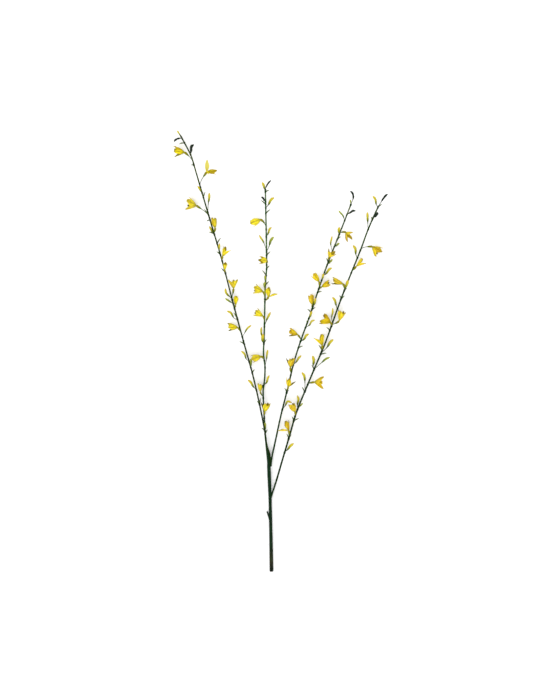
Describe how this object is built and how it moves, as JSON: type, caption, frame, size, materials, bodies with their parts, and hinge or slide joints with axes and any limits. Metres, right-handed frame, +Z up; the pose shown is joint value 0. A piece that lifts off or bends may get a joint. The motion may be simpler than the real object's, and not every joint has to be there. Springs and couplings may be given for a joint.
{
  "type": "dried broom branch",
  "caption": "Cut branch of dried broom lying flat: a dark green stem parting into slender leafy twigs with yellow pea flowers and slim buds.",
  "frame": {"origin": "middle of the branch's footprint, on the surface that it lies on", "axes": "+Z up from the surface, +Y along the branch from the cut end to the twig tips, +X to the right seen from above"},
  "size_m": [0.4302, 0.8831, 0.0389],
  "materials": {
    "stem": "satin",
    "twig": "satin",
    "petals_lemon": "matte",
    "petals_amber": "matte"
  },
  "bodies": {
    "root": {"main_stem": "stem", "twig_a": "twig", "twig_b": "twig", "twig_c": "twig", "twig_d": "twig", "flower_a1": "petals_lemon", "flower_a2": "petals_lemon", "flower_a3": "petals_lemon", "flower_a4": "petals_lemon", "flower_a5": "petals_lemon", "flower_a6": "petals_lemon", "flower_a7": "petals_lemon", "flower_a8": "petals_lemon", "flower_a9": "petals_lemon", "flower_b1": "petals_lemon", "flower_b2": "petals_lemon", "flower_b3": "petals_lemon", "flower_b4": "petals_lemon", "flower_b5": "petals_lemon", "flower_b6": "petals_lemon", "flower_b7": "petals_lemon", "flower_b8": "petals_lemon", "flower_c1": "petals_amber", "flower_c2": "petals_amber", "flower_c3": "petals_amber", "flower_c4": "petals_amber", "flower_c5": "petals_amber", "flower_c6": "petals_amber", "flower_c7": "petals_amber", "flower_c8": "petals_amber", "flower_d1": "petals_amber", "flower_d2": "petals_amber", "flower_d3": "petals_amber", "flower_d4": "petals_amber", "flower_d5": "petals_amber", "flower_d6": "petals_amber", "flower_d7": "petals_amber", "flower_d8": "petals_amber", "flower_d9": "petals_amber"}
  },
  "joints": []
}
